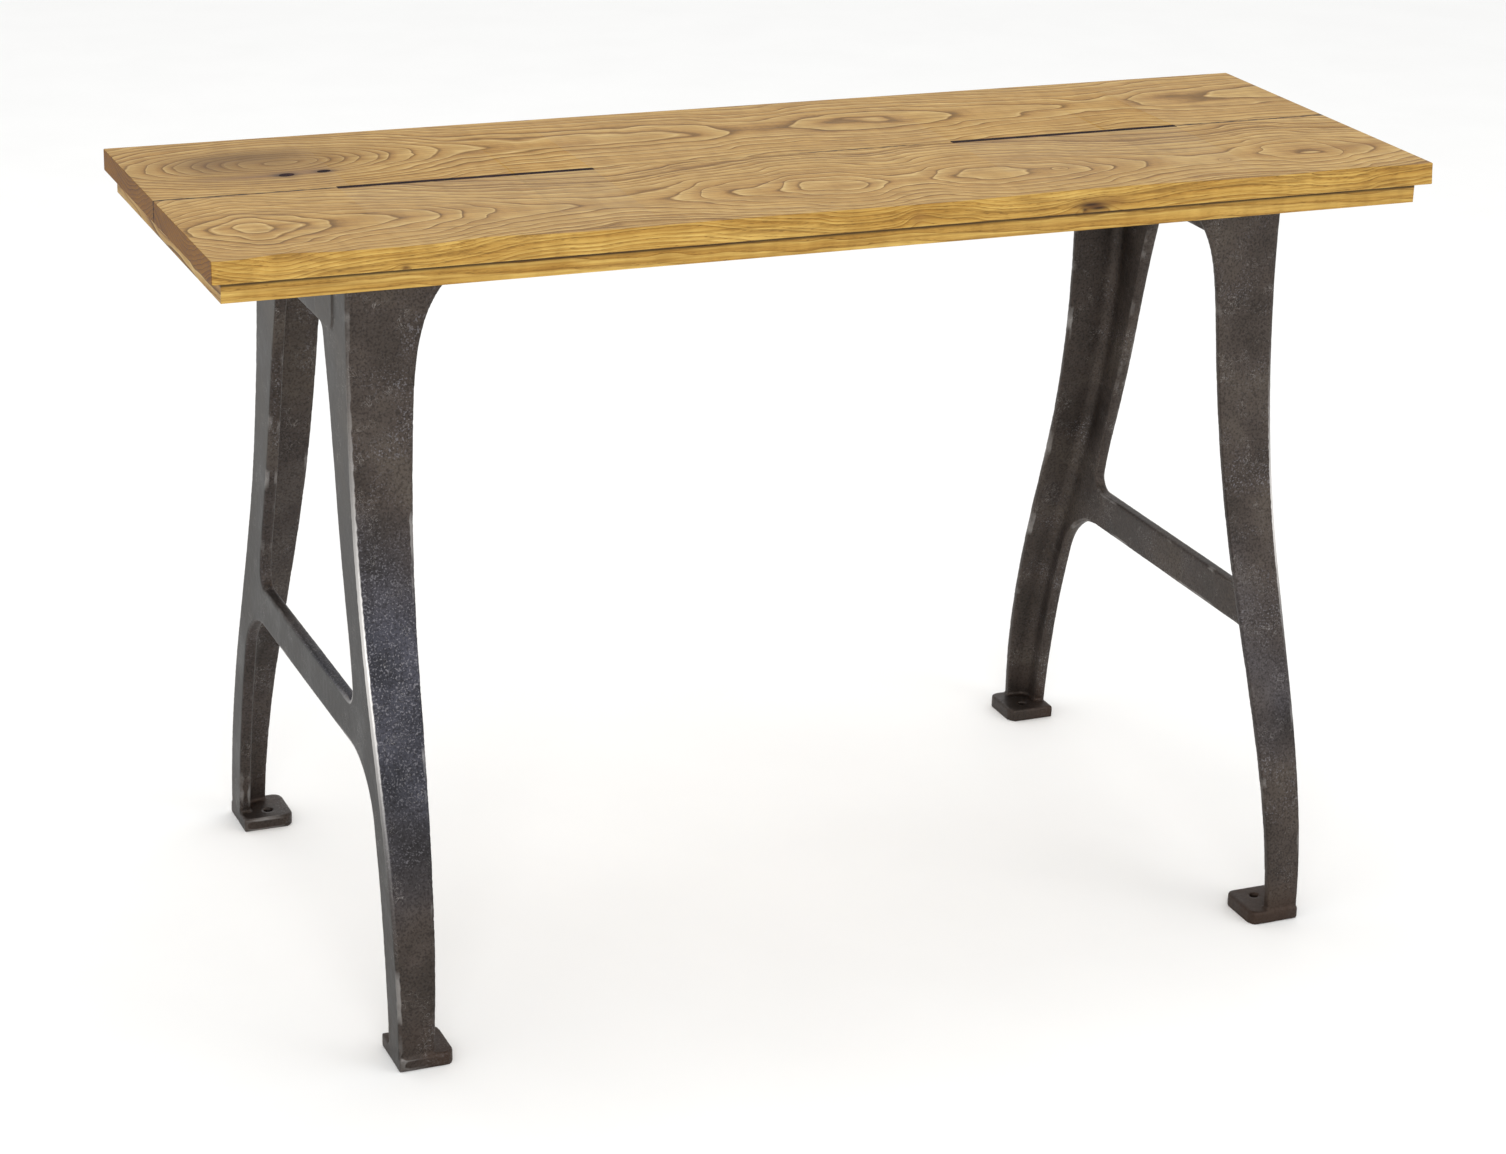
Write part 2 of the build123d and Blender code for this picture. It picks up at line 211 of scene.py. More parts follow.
RAIL_RINGS = [
    (-614, 2.0), (-420, 2.7), (-250, 3.5), (-60, 4.4), (120, 5.3), (330, 6.0), (480, 6.7), (614, 7.4),
]
SHORT_RINGS = [(-220, 2.0), (-90, 3.2), (20, 2.6), (130, 3.8), (220, 3.1)]
print("rings on the front board's heart line:", min(r for _, r in FRONT_BOARD_RINGS), "to",
      max(r for _, r in FRONT_BOARD_RINGS))

# %% The ring number of every point
YEAR_INTO_BOARD = 4.2         # mm of growth in a year, measured into the board
EDGE_GRAIN = 9.0              # mm between the straight lines at a board's sides


def ring_curve(tree, along, rings):
    """The ring number on the heart line, from the listed pairs."""
    first, last = float(rings[0][0]), float(rings[-1][0])
    most = math.ceil(max(ring for _, ring in rings))
    curve = add(tree, "FloatCurve", Value=add(tree, "MapRange", along, first, last))
    points = curve.mapping.curves[0].points
    while len(points) < len(rings):
        points.new(0.5, 0.5)
    for point, (where, ring) in zip(points, rings):
        point.location = ((where - first) / (last - first), ring / most)
    curve.mapping.update()
    return add(tree, "Math", curve, float(most), operation="MULTIPLY")


def by_axis(directions, along, across):
    """Feature sizes on X, Y and Z for a board whose length, width and depth run in these directions."""
    return [{0: along, 1: across, 2: across}[directions.index(axis)] for axis in "XYZ"]


def stretched(tree, place, sizes):
    """The place, scaled so that a noise of scale 1 has features of these sizes in mm."""
    return add(tree, "VectorMath", place, [1 / s for s in sizes], operation="MULTIPLY")


def mound(tree, place, centre, reach):
    """1 at the centre, falling to nothing over reach, in mm on X, Y and Z."""
    away = add(tree, "VectorMath", place, centre, operation="SUBTRACT")
    share = add(tree, "VectorMath", away, [1 / r for r in reach], operation="MULTIPLY")
    length = add(tree, "VectorMath", share, operation="LENGTH").outputs["Value"]
    square = add(tree, "Math", length, length, operation="MULTIPLY")
    return add(tree, "Math", add(tree, "Math", square, -1.0, operation="MULTIPLY"), operation="EXPONENT")


def ring_number(tree, place, rings, directions, heart, loop_width, face, mounds):
    """Counts rings outwards from the heart line, which runs across the board from heart[0] to heart[1]."""
    split = add(tree, "SeparateXYZ", place)
    along, across, into = (split.outputs[d] for d in directions)
    heart_line = add(tree, "MapRange", along, float(rings[0][0]), float(rings[-1][0]), *heart)
    offset = add(tree, "Math", across, heart_line, operation="SUBTRACT")
    for length, width, sway in ((110.0, 40.0, 0.3), (30.0, 60.0, 0.08)):
        drift = add(tree, "TexNoise", stretched(tree, place, by_axis(directions, length, width)), Scale=1.0,
                    Detail=1.0)
        sideways = add(tree, "MapRange", drift, 0.0, 1.0, -sway * loop_width, sway * loop_width)
        offset = add(tree, "Math", offset, sideways, operation="ADD")
    # a rounded V across the board: loop_width sets its foot, and its sides rise one ring every EDGE_GRAIN
    foot = loop_width ** 2 / (2 * EDGE_GRAIN)
    share = add(tree, "Math", offset, foot, operation="DIVIDE")
    slant = add(tree, "Math", share, share, 1.0, operation="MULTIPLY_ADD")
    slant = add(tree, "Math", slant, operation="SQRT")
    on_heart = ring_curve(tree, along, rings)
    height = add(tree, "Math", slant, foot / EDGE_GRAIN, on_heart, operation="MULTIPLY_ADD")
    height = add(tree, "Math", height, foot / EDGE_GRAIN, operation="SUBTRACT")
    depth = add(tree, "Math", face, into, operation="SUBTRACT")
    height = add(tree, "Math", depth, 1 / YEAR_INTO_BOARD, height, operation="MULTIPLY_ADD")
    for centre, reach, count in mounds:
        height = add(tree, "Math", mound(tree, place, centre, reach), count, height, operation="MULTIPLY_ADD")
    patches = add(tree, "TexNoise", stretched(tree, place, by_axis(directions, 60.0, 26.0)), Scale=1.0,
                  Detail=1.0)
    height = add(tree, "Math", patches, 1.1, height, operation="MULTIPLY_ADD")
    year = add(tree, "TexNoise", W=add(tree, "Math", height, 0.9, operation="MULTIPLY"), Scale=1.0,
               noise_dimensions="1D")
    return add(tree, "Math", year, 1.1, height, operation="MULTIPLY_ADD"), year


# %% The colour of oiled ash
EARLY_AND_LATE = [(0.0, "#6F4E1D"), (0.05, "#7C5A24"), (0.11, "#997339"), (0.22, "#AF884B"), (0.5, "#B9965A"),
                  (0.82, "#C3A367"), (0.93, "#D1B57C"), (0.975, "#AF8A50"), (1.0, "#7A5727")]
BODY = [(0.38, "#AA8448"), (0.5, "#B89559"), (0.62, "#C4A46B")]


def joint_line(tree, place, across, openness):
    """The glue line between two boards: dark where it has opened a little, as the pairs along it say."""
    split = add(tree, "SeparateXYZ", place)
    beside = add(tree, "Math", split.outputs["Y"], across, operation="SUBTRACT")
    line = add(tree, "MapRange", add(tree, "Math", beside, operation="ABSOLUTE"), 1.3, 2.6, 1.0, 0.0)
    gap = ring_curve(tree, split.outputs["X"], openness)
    dashes = add(tree, "TexNoise", stretched(tree, place, (11.0, 3.0, 3.0)), Scale=1.0, Detail=2.0)
    broken = add(tree, "MapRange", dashes, 0.42, 0.54, 0.45, 1.3)
    return add(tree, "Math", add(tree, "Math", line, gap, operation="MULTIPLY"), broken, operation="MULTIPLY")


def ash(name, rings, directions="XYZ", heart=(0.0, 0.0), loop_width=28.0, face=762.0, mounds=(),
        stains=(), joint=(), shadow_under_top=None):
    """Oiled ash. directions says which way runs along, across and into the board, and heart is where the
    heart line lies across it at its two ends. loop_width sets how wide the innermost loops are, face is the
    show side, and the last argument is the height of the top's underside, just below which a painted
    shadow darkens the wood. All in mm."""
    material, tree, shader, place = new_material(name)
    height, year = ring_number(tree, place, rings, directions, heart, loop_width, face, mounds)
    season = add(tree, "Math", height, operation="FRACT")
    broad = add(tree, "TexNoise", stretched(tree, place, by_axis(directions, 160.0, 24.0)), Scale=1.0,
                Detail=3.0)
    body = add(tree, "ValToRGB", broad, stops=BODY)
    # the top shows its rings boldly, and the edges, cut across them, only faintly
    normal = add(tree, "SeparateXYZ", add(tree, "TexCoord").outputs["Normal"])
    edges = add(tree, "MapRange", add(tree, "Math", normal.outputs["Y"], operation="ABSOLUTE"), 0.35, 0.8)
    strength = add(tree, "Math", add(tree, "MapRange", year, 0.2, 0.65, 0.55, 0.95),
                   add(tree, "MapRange", edges, 0.0, 1.0, 1.0, 0.6), operation="MULTIPLY")
    rings_here = add(tree, "ValToRGB", season, stops=EARLY_AND_LATE)
    colour = add(tree, "Mix", strength, body, rings_here, data_type="RGBA")
    # the light bends in curly fibres, which shows as soft bars across the board
    curl = add(tree, "TexNoise", stretched(tree, place, by_axis(directions, 16.0, 34.0)), Scale=1.0,
               Detail=1.0)
    bars = add(tree, "ValToRGB", curl, stops=[(0.35, "#DFD8CA"), (0.6, "#FFFFFF")])
    colour = add(tree, "Mix", 0.4, colour, bars, data_type="RGBA", blend_type="MULTIPLY")
    # fibres run in streaks of every width, from a few mm down to a few tenths
    fibre = add(tree, "TexNoise", stretched(tree, place, by_axis(directions, 150.0, 2.8)), Scale=1.0,
                Detail=4.0, Roughness=0.66)
    streaks = add(tree, "ValToRGB", fibre, stops=[(0.38, "#BDAF96"), (0.48, "#E8DFCE"), (0.58, "#FFFFFF")])
    colour = add(tree, "Mix", 0.7, colour, streaks, data_type="RGBA", blend_type="MULTIPLY")
    # pores are short dark dashes, crowded into the early wood
    pore = add(tree, "TexNoise", stretched(tree, place, by_axis(directions, 8.0, 0.5)), Scale=1.0, Detail=1.0)
    early = add(tree, "MapRange", season, 0.0, 0.45, 0.85, 0.15)
    pores = add(tree, "Math", add(tree, "MapRange", pore, 0.55, 0.66), early, operation="MULTIPLY")
    colour = add(tree, "Mix", pores, colour, "#5E4220", data_type="RGBA")
    # sawn ends drink more oil and go darker, and the edges of the top keep a golden sapwood tone
    ends = add(tree, "Math", normal.outputs[directions[0]], operation="ABSOLUTE")
    deep = add(tree, "Mix", 1.0, colour, "#B49412", data_type="RGBA", blend_type="MULTIPLY")
    colour = add(tree, "Mix", add(tree, "MapRange", ends, 0.6, 0.9), colour, deep, data_type="RGBA")
    golden = add(tree, "Mix", 1.0, colour, "#FFFCD6", data_type="RGBA", blend_type="MULTIPLY")
    colour = add(tree, "Mix", edges, colour, golden, data_type="RGBA")
    for centre, reach, most, stain in stains:
        mark = mound(tree, place, centre, reach)
        mark = add(tree, "Math", mark, most, operation="MULTIPLY", use_clamp=True)
        colour = add(tree, "Mix", mark, colour, stain, data_type="RGBA")
    if joint:
        colour = add(tree, "Mix", joint_line(tree, place, *joint), colour, "#2E1C10", data_type="RGBA")
    if shadow_under_top:
        # painted shadow: the wood darkens just below the overhanging top, in the angle under it
        height_here = add(tree, "SeparateXYZ", place).outputs["Z"]
        shadow = add(tree, "MapRange", height_here, shadow_under_top - 7.0, shadow_under_top - 5.2, 0.0, 0.85)
        colour = add(tree, "Mix", shadow, colour, "#2A1C10", data_type="RGBA")
    feed(tree, colour, shader, "Base Color")
    relief = add(tree, "Math", fibre, pores, operation="SUBTRACT")
    feed(tree, add(tree, "Bump", Height=relief, Strength=0.35, Distance=0.12 * MM), shader, "Normal")
    feed(tree, add(tree, "MapRange", fibre, 0.3, 0.7, 0.5, 0.64), shader, "Roughness")
    shader.inputs["IOR"].default_value = 1.48
    shader.inputs["Specular IOR Level"].default_value = 0.22
    return material


print("one year's growth into the board, mm:", YEAR_INTO_BOARD)

# %% Every board's own ash
# A mound or a stain has a centre, a reach on each axis in mm, and a strength, and a stain has a colour.
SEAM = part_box("top_board_rear")[0].y / MM
OPEN_JOINT = [
    (-614, 1.0), (-500, 0.95), (-445, 0.8), (-430, 0.0), (-200, 0.0), (-150, 0.06), (-46, 0.25), (0, 0.2),
    (34, 0.5), (118, 0.75), (160, 0.2), (200, 0.0), (430, 0.0), (446, 0.8), (560, 0.9), (614, 1.0),
]
SWIRL = [((-473, 98, 762), (88, 50, 60), -6.5)]
REAR_STAINS = [
    ((-485, 100, 762), (95, 56, 40), 0.55, "#64441A"), ((-500, 128, 762), (60, 20, 40), 0.5, "#482E14"),
    ((-540, 100, 762), (22, 24, 20), 0.35, "#4E341E"), ((-500, 54, 762), (60, 4.5, 8), 0.5, "#66483C"),
    ((-452, 61, 762), (34, 8, 8), 0.4, "#6A4C42"), ((-476, 54, 762), (12, 7.0, 8), 0.97, "#1C0F12"),
    ((-437, 58, 762), (10, 5.0, 8), 0.95, "#241317"),
]
FRONT_MOUNDS = [
    ((239, -210, 746), (24, 10, 9), 3.4), ((-441, -210, 743), (10, 6, 5), 1.5),
    ((54, -210, 749), (16, 8, 9), 1.6), ((418, -140, 762), (7, 6, 10), -1.4),
    ((245, -126, 762), (7, 5, 10), -1.2),
]
FRONT_STAINS = [
    ((239, -210, 747), (20, 9, 6.0), 0.97, "#5E3C1A"), ((260, -210, 750), (16, 8, 3.8), 0.75, "#7A5526"),
    ((235, -210, 748), (12, 9, 1.6), 0.95, "#22110A"), ((243, -210, 744.5), (9, 9, 1.3), 0.95, "#22110A"),
    ((228, -210, 744), (3, 9, 1.6), 0.8, "#2A160B"),
    ((-441, -210, 743), (4.5, 4, 2.2), 0.85, "#5A3A1A"), ((54, -210, 749), (8, 8, 6), 0.5, "#80592A"),
    ((-243, -203, 762), (16, 0.8, 3), 0.85, "#3A2818"), ((-225, -202, 762), (8, 0.6, 3), 0.6, "#3A2818"),
    ((250, -56, 762), (12, 0.7, 3), 0.6, "#4A3420"), ((590, -125, 762), (50, 9, 8), 0.5, "#80592A"),
]
oiled_ash_rear = ash("oiled_ash_rear_board", REAR_BOARD_RINGS, heart=(104.0, 104.0), loop_width=33.0,
                     mounds=SWIRL, stains=REAR_STAINS, joint=(SEAM, OPEN_JOINT))
oiled_ash_front = ash("oiled_ash_front_board", FRONT_BOARD_RINGS, heart=(-117.0, -129.0), mounds=FRONT_MOUNDS,
                      stains=FRONT_STAINS, joint=(SEAM, OPEN_JOINT))
oiled_ash_rail = ash("oiled_ash_long_rail", RAIL_RINGS, "XZY", heart=(688.0, 700.0), loop_width=16.0,
                     face=-141.0, shadow_under_top=741.0)
oiled_ash_end_rail = ash("oiled_ash_end_rail", SHORT_RINGS, "YZX", heart=(716.0, 745.0), loop_width=6.5,
                         face=-548.0, shadow_under_top=741.0)
oiled_ash_cleat = ash("oiled_ash_cleat", SHORT_RINGS, "YXZ", heart=(-430.0, -424.0), loop_width=26.0,
                      face=741.0)
print("ash materials:", [m.name for m in bpy.data.materials if m.name.startswith("oiled_ash")])

# %% [markdown]
# ## Casting resin
# Cracks and knots in the boards are filled with dark epoxy resin, then sanded flush and oiled with the top.
# Epoxy bends light like glass (IOR about 1.55) and stays smoother than the wood round it.

# %% Resin, steel and beech


def epoxy_resin():
    material, tree, shader, place = new_material("sanded_epoxy_resin")
    cloud = add(tree, "TexNoise", place, Scale=1 / 9, Detail=3.0)
    fill = add(tree, "ValToRGB", cloud, stops=[(0.3, "#140B0C"), (0.55, "#261618"), (0.75, "#3A2628")])
    feed(tree, fill, shader, "Base Color")
    haze = add(tree, "TexNoise", place, Scale=1 / 1.5)
    feed(tree, add(tree, "MapRange", haze, 0.3, 0.7, 0.6, 0.8), shader, "Roughness")
    shader.inputs["IOR"].default_value = 1.55
    shader.inputs["Specular IOR Level"].default_value = 0.05
    return material


def plated_steel(name, light, dark):
    material, tree, shader, place = new_material(name)
    spangle = add(tree, "TexNoise", place, Scale=1 / 2.5, Detail=4.0)
    feed(tree, add(tree, "ValToRGB", spangle, stops=[(0.35, dark), (0.65, light)]), shader, "Base Color")
    feed(tree, add(tree, "MapRange", spangle, 0.3, 0.7, 0.3, 0.5), shader, "Roughness")
    shader.inputs["Metallic"].default_value = 1.0
    return material


def turned_beech():
    material, tree, shader, place = new_material("turned_beech")
    grain = add(tree, "TexNoise", stretched(tree, place, (3.0, 26.0, 3.0)), Scale=1.0, Detail=3.0)
    tint = add(tree, "ValToRGB", grain, stops=[(0.35, "#A57C55"), (0.65, "#BC966C")])
    feed(tree, tint, shader, "Base Color")
    shader.inputs["Roughness"].default_value = 0.6
    return material


resin = epoxy_resin()
zinc = plated_steel("zinc_plated_steel", "#B9BCC0", "#8E9296")
screw_steel = plated_steel("yellow_zinc_screw", "#C9B27A", "#9C8A5C")
beech = turned_beech()
print("small materials:", resin.name, zinc.name, screw_steel.name, beech.name)

# %% [markdown]
# ## Sand-cast iron, wire-brushed and waxed
# Iron poured in sand keeps the sand's fine grain and a few blisters. Brushing and wax leave it dark brown
# grey, polished where hands and floors rub it and rusty where damp stays in a corner.
# Where the surface bulges is worked out from the mesh and kept on it, so worn edges follow the real shape.

# %% The iron material


WAX_HEIGHT = 300.0            # mm above the floor where the wax is thickest
WAX_REACH = 250.0             # mm up and down from there


def cast_iron(name, wax, handled, reach):
    """Brushed iron. wax, from 0 to 1, is how much of it is blue-black, and handled is the middle of the
    stretch, reaching this far along X, Y and Z, where hands have polished the arris. In mm."""
    material, tree, shader, place = new_material(name)
    shader.inputs["Metallic"].default_value = 0.7
    bulge_here = add(tree, "Attribute", attribute_name="bulge").outputs["Fac"]
    split = add(tree, "SeparateXYZ", place)
    up = split.outputs["Z"]
    normal = add(tree, "SeparateXYZ", add(tree, "TexCoord").outputs["Normal"])
    # scale from the mould: brown where it stayed, blue-black where the wax went on thick, on the front leg
    tide = add(tree, "TexNoise", stretched(tree, place, (160.0, 160.0, 240.0)), Scale=1.0, Detail=3.0)
    tide = add(tree, "MapRange", tide, 0.0, 1.0, 0.25, 0.75)
    patches = add(tree, "TexNoise", place, Scale=1 / 80, Detail=7.0, Roughness=0.6)
    brown = add(tree, "ValToRGB", patches, stops=[(0.36, "#362F2A"), (0.5, "#433B36"), (0.65, "#514942")])
    blue = add(tree, "ValToRGB", patches, stops=[(0.36, "#232328"), (0.5, "#34343B"), (0.65, "#484851")])
    away = add(tree, "Math", up, WAX_HEIGHT, operation="SUBTRACT")
    away = add(tree, "Math", away, WAX_REACH, operation="DIVIDE")
    away = add(tree, "Math", away, away, operation="MULTIPLY")
    waxed = add(tree, "Math", away, -0.3, tide, operation="MULTIPLY_ADD")
    blue_share = add(tree, "MapRange", waxed, 0.5 - 0.33 * wax, 0.7 - 0.33 * wax)
    front_leg = add(tree, "MapRange", split.outputs["Y"], 80.0, -60.0, 0.15, 1.0)
    blue_share = add(tree, "Math", blue_share, front_leg, operation="MULTIPLY")
    colour = add(tree, "Mix", blue_share, brown, blue, data_type="RGBA")
    # the sand's grain: darker in its pits and lighter on its high spots
    grain = add(tree, "TexNoise", place, Scale=1 / 2.4, Detail=3.0)
    grit = add(tree, "ValToRGB", grain, stops=[(0.36, "#9A9592"), (0.54, "#FFFFFF")])
    colour = add(tree, "Mix", 0.65, colour, grit, data_type="RGBA", blend_type="MULTIPLY")
    # painted glints: pale specks, crowded low on the blue front leg and in patches, stand in for light
    # sparkling off the rough metal
    crowd = add(tree, "TexNoise", place, Scale=1 / 50, Detail=2.0)
    crowd = add(tree, "MapRange", crowd, 0.5, 0.68, 0.05, 0.6)
    thick = add(tree, "MapRange", up, 160.0, 340.0, 0.1, 0.8)
    thick = add(tree, "Math", blue_share, thick, operation="MULTIPLY")
    crowd = add(tree, "Math", crowd, thick, operation="MAXIMUM")
    specks = add(tree, "MapRange", add(tree, "TexNoise", place, Scale=1 / 1.9, Detail=2.0), 0.56, 0.66)
    painted_glints = add(tree, "Math", specks, crowd, operation="MULTIPLY")
    painted_glints = add(tree, "Math", painted_glints, 0.62, operation="MULTIPLY")
    colour = add(tree, "Mix", painted_glints, colour, "#8D8B90", data_type="RGBA")
    # the plate's outboard faces were linished flat and are a lighter grey, partly bare linished metal and
    # partly a painted sheen for the light off their smoother faces; painted shade darkens them towards the
    # bottom
    flat = add(tree, "Math", normal.outputs["X"], operation="ABSOLUTE")
    flat = add(tree, "MapRange", flat, 0.85, 0.98)
    far_out = add(tree, "Math", split.outputs["X"], operation="ABSOLUTE")
    far_out = add(tree, "MapRange", far_out, 475.0, 477.5)
    outboard = add(tree, "Math", flat, far_out, operation="MULTIPLY")
    linished_sheen_and_shade = add(tree, "ValToRGB", patches, stops=[(0.36, "#34312E"), (0.5, "#4B4845"), (0.64, "#64615D")])
    shade_here = add(tree, "MapRange", up, 330.0, 640.0, 0.42, 0.92)
    linished_sheen_and_shade = add(tree, "VectorMath", linished_sheen_and_shade, shade_here, operation="SCALE")
    colour = add(tree, "Mix", add(tree, "Math", outboard, 0.85, operation="MULTIPLY"), colour, linished_sheen_and_shade,
                 data_type="RGBA")
    # handling wears one long arris bright, and odd spots elsewhere
    spots = add(tree, "TexNoise", place, Scale=1 / 55, Detail=4.0)
    spots = add(tree, "MapRange", spots, 0.56, 0.68, 0.0, 0.25)
    polish = add(tree, "Math", mound(tree, place, handled, reach), spots, operation="MAXIMUM")
    rub = add(tree, "Math", add(tree, "MapRange", bulge_here, 0.42, 0.6), polish, operation="MULTIPLY")
    colour = add(tree, "Mix", rub, colour, "#D2CFCC", data_type="RGBA")
    # hair-fine scratches left by the wire brush
    hair = add(tree, "TexNoise", place, Scale=1 / 9, Detail=4.0, Distortion=1.5)
    hair = add(tree, "Math", hair, 0.5, operation="SUBTRACT")
    hair = add(tree, "Math", hair, operation="ABSOLUTE")
    line = add(tree, "MapRange", hair, 0.0, 0.014, 1.0, 0.0)
    where = add(tree, "MapRange", add(tree, "TexNoise", place, Scale=1 / 26, Detail=2.0), 0.52, 0.66)
    scratch = add(tree, "Math", line, where, operation="MULTIPLY")
    scratch = add(tree, "Math", scratch, 0.4, operation="MULTIPLY")
    colour = add(tree, "Mix", scratch, colour, "#B0ACA8", data_type="RGBA")
    # painted shade: the casting's hollows and creases are darkened
    hollow = add(tree, "MapRange", bulge_here, -0.2, -0.9, 0.0, 0.5)
    colour = add(tree, "Mix", hollow, colour, "#2A211B", data_type="RGBA")
    # rust where mopping wetted the feet
    damp = add(tree, "Math", add(tree, "MapRange", up, 60.0, 8.0),
               add(tree, "MapRange", patches, 0.42, 0.58, 0.1, 0.75), operation="MULTIPLY")
    colour = add(tree, "Mix", damp, colour, "#35241A", data_type="RGBA")
    feed(tree, colour, shader, "Base Color")
    rough = add(tree, "MapRange", patches, 0.35, 0.65, 0.42, 0.6)
    feed(tree, add(tree, "Math", rub, -0.15, rough, operation="MULTIPLY_ADD"), shader, "Roughness")
    feed(tree, add(tree, "Bump", Height=grain, Strength=0.45, Distance=0.3 * MM), shader, "Normal")
    return material


iron_left = cast_iron("brushed_cast_iron_left", 0.8, (-479, -205, 390), (14, 60, 190))
iron_right = cast_iron("brushed_cast_iron_right", 0.15, (479, -190, 400), (14, 40, 110))
print("iron:", iron_left.name, iron_right.name)

# %% [markdown]
# ## The boards
# A real board leaves the planer square, and then every arris is eased with a block against splinters.
# The front edge is the tree's own edge, cleaned of bark, so it waves and leans back under the top arris.
# Each board is lofted along its length from one cross-section: rings of points joined by quads.

# %% Loft a board
EASE = 0.9 * MM               # radius of a hand-eased arris
SEAM_EASE = 0.45 * MM         # the arrises at the glue line are barely touched
EASE_STEPS = 3
STATION = 6 * MM              # distance between cross-sections
WANE_BACK = -0.198            # the wane's arris lies wholly in front of this line
HOLLOW_DEPTH = 0.35 * MM      # slow hollows in the wane, and how long they are
HOLLOW_LENGTH = 35 * MM
SWELL = 0.25 * MM             # how far the wane bellies out between its arrises
SAME_POINT = 0.01 * MM        # points closer than this are one
CUTTER_RISE = 2 * MM          # how far a groove's cutter stands above the board


def new_piece(name, mesh, material, node):
    """Links a finished mesh as a piece that stands for a CAD node, riding on the table's one body."""
    piece = bpy.data.objects.new(name, mesh)
    bpy.context.scene.collection.objects.link(piece)
    mesh.materials.clear()
    mesh.materials.append(material)
    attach(piece, "root")
    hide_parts(node)
    return piece


def add_modifier(piece, name, kind, **settings):
    modifier = piece.modifiers.new(name, kind)
    for key, value in settings.items():
        setattr(modifier, key, value)
    return modifier


def applied(piece):
    """The piece's mesh with its modifiers applied."""
    shown = piece.evaluated_get(bpy.context.evaluated_depsgraph_get())
    return bpy.data.meshes.new_from_object(shown)


def shade(mesh, angle=35):
    """Smooth shading that keeps creases sharper than angle degrees, and wide faces flat between arrises."""
    mesh.polygons.foreach_set("use_smooth", [True] * len(mesh.polygons))
    mesh.set_sharp_from_angle(angle=math.radians(angle))
    holder = bpy.data.objects.new("holder", mesh)
    bpy.context.scene.collection.objects.link(holder)
    add_modifier(holder, "flat_faces", "WEIGHTED_NORMAL", mode="FACE_AREA", weight=100, keep_sharp=True)
    shaded = applied(holder)
    bpy.data.objects.remove(holder)
    return shaded


def live_arris():
    """The waney upper arris of the front board, as places along and across, read from the frame."""
    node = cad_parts["top_board_front"]
    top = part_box("top_board_front")[1].z
    points = sorted({(round(v.co.x, 5), round(v.co.y, 5)) for v in node.data.vertices
                     if v.co.z > top - SAME_POINT and v.co.y < WANE_BACK})
    return np.array(points)


def eased(y, z, arrive, leave, radius=EASE):
    """A rounded corner at (y, z): points from the side it arrives along to the side it leaves along."""
    start = Vector((y, z)) + Vector(arrive) * radius
    end = Vector((y, z)) + Vector(leave) * radius
    corner = Vector((y, z))
    points = []
    for step in range(EASE_STEPS + 1):
        t = step / EASE_STEPS
        points.append(tuple((1 - t) ** 2 * start + 2 * t * (1 - t) * corner + t ** 2 * end))
    return points


def front_profile(x, inset, arris):
    """One cross-section of the front board, counter-clockwise seen from +X."""
    low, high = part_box("top_board_front")
    foot = low.y + 0.1 * MM + inset
    lip = np.interp(x, arris[:, 0], arris[:, 1]) + inset
    bottom, top, back = low.z + inset, high.z - inset, high.y - inset
    points = eased(foot, bottom, (1, 0), (0, 1))
    for share in (0.2, 0.35, 0.5, 0.65, 0.8):
        hollow = HOLLOW_DEPTH * noise.noise(Vector((x / HOLLOW_LENGTH, share * 2.2, 3.1)))
        wave = 4 * share * (1 - share) * (hollow + SWELL)
        points.append((foot + (lip - foot) * share + wave, bottom + (top - bottom) * share))
    points += eased(lip, top, (0, -1), (1, 0))
    points += eased(back, top, (-1, 0), (0, -1), SEAM_EASE)
    points += eased(back, bottom, (0, 1), (-1, 0))
    return points


def rear_profile(x, inset, arris):
    """One cross-section of the rear board, which is the same all along, whatever x and the arris are."""
    low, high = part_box("top_board_rear")
    front, back = low.y + inset, high.y - inset
    bottom, top = low.z + inset, high.z - inset
    points = eased(front, bottom, (1, 0), (0, 1))
    points += eased(front, top, (0, -1), (1, 0), SEAM_EASE)
    points += eased(back, top, (-1, 0), (0, -1))
    points += eased(back, bottom, (0, 1), (-1, 0))
    return points


def loft_board(name, node, profile):
    """The board's mesh. Each station is a place along it, and how far its cross-section shrinks there."""
    low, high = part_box(node)
    arris = live_arris()
    turns = [math.pi / 2 * step / EASE_STEPS for step in range(EASE_STEPS, -1, -1)]
    start = [(low.x + EASE * (1 - math.sin(turn)), EASE * (1 - math.cos(turn))) for turn in turns]
    count = round((high.x - low.x) / STATION)
    inner = [(low.x + (high.x - low.x) * i / count, 0.0) for i in range(1, count)]
    end = [(low.x + high.x - x, inset) for x, inset in reversed(start)]
    stations = start + inner + end
    mesh = bpy.data.meshes.new(name)
    shell = bmesh.new()
    loops = [[shell.verts.new((x, y, z)) for y, z in profile(x, inset, arris)] for x, inset in stations]
    for before, after in zip(loops, loops[1:]):
        for i in range(len(before)):
            j = (i + 1) % len(before)
            shell.faces.new((before[i], after[i], after[j], before[j]))
    shell.faces.new(loops[0])
    shell.faces.new(list(reversed(loops[-1])))
    bmesh.ops.recalc_face_normals(shell, faces=shell.faces)
    shell.to_mesh(mesh)
    shell.free()
    print(name, "loft:", len(stations), "sections,", len(mesh.polygons), "faces")
    return mesh


def resin_cutter(node):
    """A resin piece's shape, drawn up through the board's face, for cutting the groove that it fills."""
    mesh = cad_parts[node].data.copy()
    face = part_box(node)[1].z
    for vertex in mesh.vertices:
        if vertex.co.z > face - SAME_POINT:
            vertex.co.z += CUTTER_RISE
    cutter = bpy.data.objects.new(node + "_cutter", mesh)
    bpy.context.scene.collection.objects.link(cutter)
    return cutter


